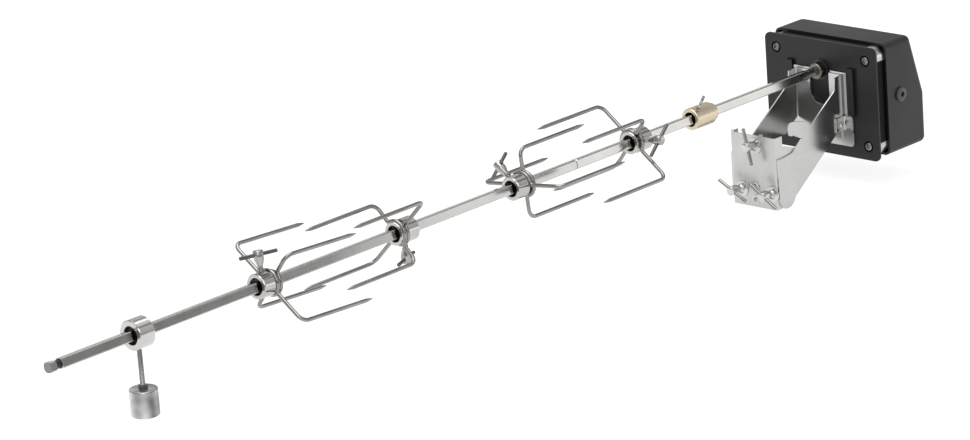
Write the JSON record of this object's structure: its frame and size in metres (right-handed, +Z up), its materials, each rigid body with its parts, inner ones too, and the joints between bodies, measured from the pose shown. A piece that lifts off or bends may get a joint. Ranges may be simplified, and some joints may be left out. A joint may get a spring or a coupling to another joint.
{
  "type": "rotisserie kit",
  "caption": "Grill rotisserie: jointed square spit with sliding meat forks, counterweight and bushing, driven by a gear motor that hangs on a folded steel bracket.",
  "frame": {"origin": "midway between the two threaded inserts of the bracket's flange, on their outer face", "axes": "+X along the spit towards the motor, +Z up, as the kit hangs on a grill's side"},
  "size_m": [1.1475, 0.1516, 0.1566],
  "materials": {
    "spit_steel": "drawn bar, satin",
    "polished_steel": "turned and polished",
    "tine_wire": "drawn wire, satin",
    "screw_steel": "zinc plated",
    "brass": "turned, slightly dulled",
    "sintered_iron": "sintered, oiled",
    "bracket_steel": "bright brushed sheet",
    "black_steel": "black satin paint",
    "black_plastic": "moulded, fine satin",
    "zinc_steel": "bright zinc",
    "nylon": "moulded natural nylon",
    "red_plastic": "moulded, gloss"
  },
  "bodies": {
    "bracket": {"bracket_channel": "bracket_steel", "bracket_back_plate": "bracket_steel", "bracket_flange": "bracket_steel", "corner_angle": "bracket_steel", "angle_screw": "screw_steel", "threaded_inserts": "screw_steel", "weld_nuts": "screw_steel", "washers": "screw_steel"},
    "upper_thumb_screw": {"upper_screw": "screw_steel", "upper_bar": "screw_steel"},
    "near_thumb_screw": {"near_screw": "screw_steel", "near_bar": "screw_steel"},
    "far_thumb_screw": {"far_screw": "screw_steel", "far_bar": "screw_steel"},
    "motor": {"motor_plate": "black_steel", "guide_rails": "black_steel", "plate_screws": "black_steel", "chassis_tray": "zinc_steel", "housing": "black_plastic", "housing_screws": "black_steel", "bearing": "sintered_iron", "idler_pin": "screw_steel", "gear_plate": "zinc_steel", "gear_posts": "zinc_steel", "motor_can": "zinc_steel", "switch_bezel": "black_plastic", "cable_gland": "black_plastic"},
    "drive": {"drive_socket": "polished_steel", "output_gear": "nylon"},
    "idler": {"idler_gear": "nylon"},
    "rotor": {"rotor": "screw_steel"},
    "rocker": {"switch_rocker": "red_plastic"},
    "spit_drive": {"spit_drive_half": "spit_steel"},
    "spit_free": {"spit_free_half": "spit_steel"},
    "bushing": {"bushing": "brass"},
    "bushing_thumb_screw": {"bushing_screw": "screw_steel"},
    "collar": {"weight_collar": "polished_steel"},
    "arm": {"weight_arm": "tine_wire"},
    "balance_weight": {"weight": "polished_steel", "jam_nut": "screw_steel"},
    "fork_1": {"fork_1_hub": "polished_steel", "fork_1_tines": "tine_wire"},
    "fork_1_thumb_screw": {"fork_1_screw": "screw_steel", "fork_1_bar": "screw_steel"},
    "fork_2": {"fork_2_hub": "polished_steel", "fork_2_tines": "tine_wire"},
    "fork_2_thumb_screw": {"fork_2_screw": "screw_steel", "fork_2_bar": "screw_steel"},
    "fork_3": {"fork_3_hub": "polished_steel", "fork_3_tines": "tine_wire"},
    "fork_3_thumb_screw": {"fork_3_screw": "screw_steel", "fork_3_bar": "screw_steel"},
    "fork_4": {"fork_4_hub": "polished_steel", "fork_4_tines": "tine_wire"},
    "fork_4_thumb_screw": {"fork_4_screw": "screw_steel", "fork_4_bar": "screw_steel"}
  },
  "joints": [
    {"name": "upper_screw_turn", "type": "hinge", "parent": "bracket", "child": "upper_thumb_screw", "pos_m": [0, -0.0015, 0.052], "axis": [-1, 0, 0], "continuous": true},
    {"name": "near_screw_turn", "type": "hinge", "parent": "bracket", "child": "near_thumb_screw", "pos_m": [0, -0.02175, 0.0035], "axis": [-1, 0, 0], "continuous": true},
    {"name": "far_screw_turn", "type": "hinge", "parent": "bracket", "child": "far_thumb_screw", "pos_m": [0, 0.01875, 0.0035], "axis": [-1, 0, 0], "continuous": true},
    {"name": "motor_lift", "type": "slide", "parent": "bracket", "child": "motor", "axis": [0, 0, 1], "range_m": [0, 0.06]},
    {"name": "switch_rock", "type": "hinge", "parent": "motor", "child": "rocker", "pos_m": [0.18109, 0, 0.10131], "axis": [0, 1, 0], "range_deg": [0, 18]},
    {"name": "output_turn", "type": "hinge", "parent": "motor", "child": "drive", "pos_m": [0.114, 0, 0.1025], "axis": [1, 0, 0], "continuous": true},
    {"name": "idler_turn", "type": "hinge", "parent": "motor", "child": "idler", "pos_m": [0.122, 0, 0.0725], "axis": [1, 0, 0], "continuous": true},
    {"name": "rotor_turn", "type": "hinge", "parent": "motor", "child": "rotor", "pos_m": [0.129, 0.02598, 0.0575], "axis": [1, 0, 0], "continuous": true},
    {"name": "spit_pull", "type": "slide", "parent": "drive", "child": "spit_drive", "axis": [-1, 0, 0], "range_m": [0, 0.04]},
    {"name": "spit_part", "type": "slide", "parent": "spit_drive", "child": "spit_free", "axis": [-1, 0, 0], "range_m": [0, 0.03]},
    {"name": "fork_1_slide", "type": "slide", "parent": "spit_free", "child": "fork_1", "axis": [1, 0, 0], "range_m": [-0.1, 0.03]},
    {"name": "fork_1_screw_turn", "type": "hinge", "parent": "fork_1", "child": "fork_1_thumb_screw", "pos_m": [-0.6918, 0, 0.1025], "axis": [0.0544, 0.167, 0.9844], "continuous": true},
    {"name": "fork_2_slide", "type": "slide", "parent": "spit_free", "child": "fork_2", "axis": [1, 0, 0], "range_m": [-0.035, 0.06]},
    {"name": "fork_2_screw_turn", "type": "hinge", "parent": "fork_2", "child": "fork_2_thumb_screw", "pos_m": [-0.5072, 0, 0.1025], "axis": [0, 0, -1], "continuous": true},
    {"name": "fork_3_slide", "type": "slide", "parent": "spit_free", "child": "fork_3", "axis": [1, 0, 0], "range_m": [-0.05, 0.055]},
    {"name": "fork_3_screw_turn", "type": "hinge", "parent": "fork_3", "child": "fork_3_thumb_screw", "pos_m": [-0.3498, 0, 0.1025], "axis": [0, 0.7826, 0.6225], "continuous": true},
    {"name": "fork_4_slide", "type": "slide", "parent": "spit_drive", "child": "fork_4", "axis": [1, 0, 0], "range_m": [-0.06, 0.03]},
    {"name": "fork_4_screw_turn", "type": "hinge", "parent": "fork_4", "child": "fork_4_thumb_screw", "pos_m": [-0.1732, 0, 0.1025], "axis": [0, -0.9914, 0.1305], "continuous": true},
    {"name": "bushing_slide", "type": "slide", "parent": "spit_drive", "child": "bushing", "axis": [1, 0, 0], "range_m": [-0.02, 0.08]},
    {"name": "bushing_screw_turn", "type": "hinge", "parent": "bushing", "child": "bushing_thumb_screw", "pos_m": [-0.088, 0, 0.1025], "axis": [0, -0.515, 0.8572], "continuous": true},
    {"name": "collar_turn", "type": "hinge", "parent": "spit_free", "child": "collar", "pos_m": [-0.8475, 0, 0.1025], "axis": [1, 0, 0], "continuous": true},
    {"name": "arm_turn", "type": "hinge", "parent": "collar", "child": "arm", "pos_m": [-0.8475, 0, 0.1025], "axis": [0, 0, 1], "continuous": true},
    {"name": "weight_slide", "type": "slide", "parent": "arm", "child": "balance_weight", "axis": [0, 0, 1], "range_m": [-0.01, 0.03]}
  ],
  "couplings": [
    {"joint": "idler_turn", "follows": "output_turn", "ratio": -4},
    {"joint": "rotor_turn", "follows": "output_turn", "ratio": 16}
  ]
}
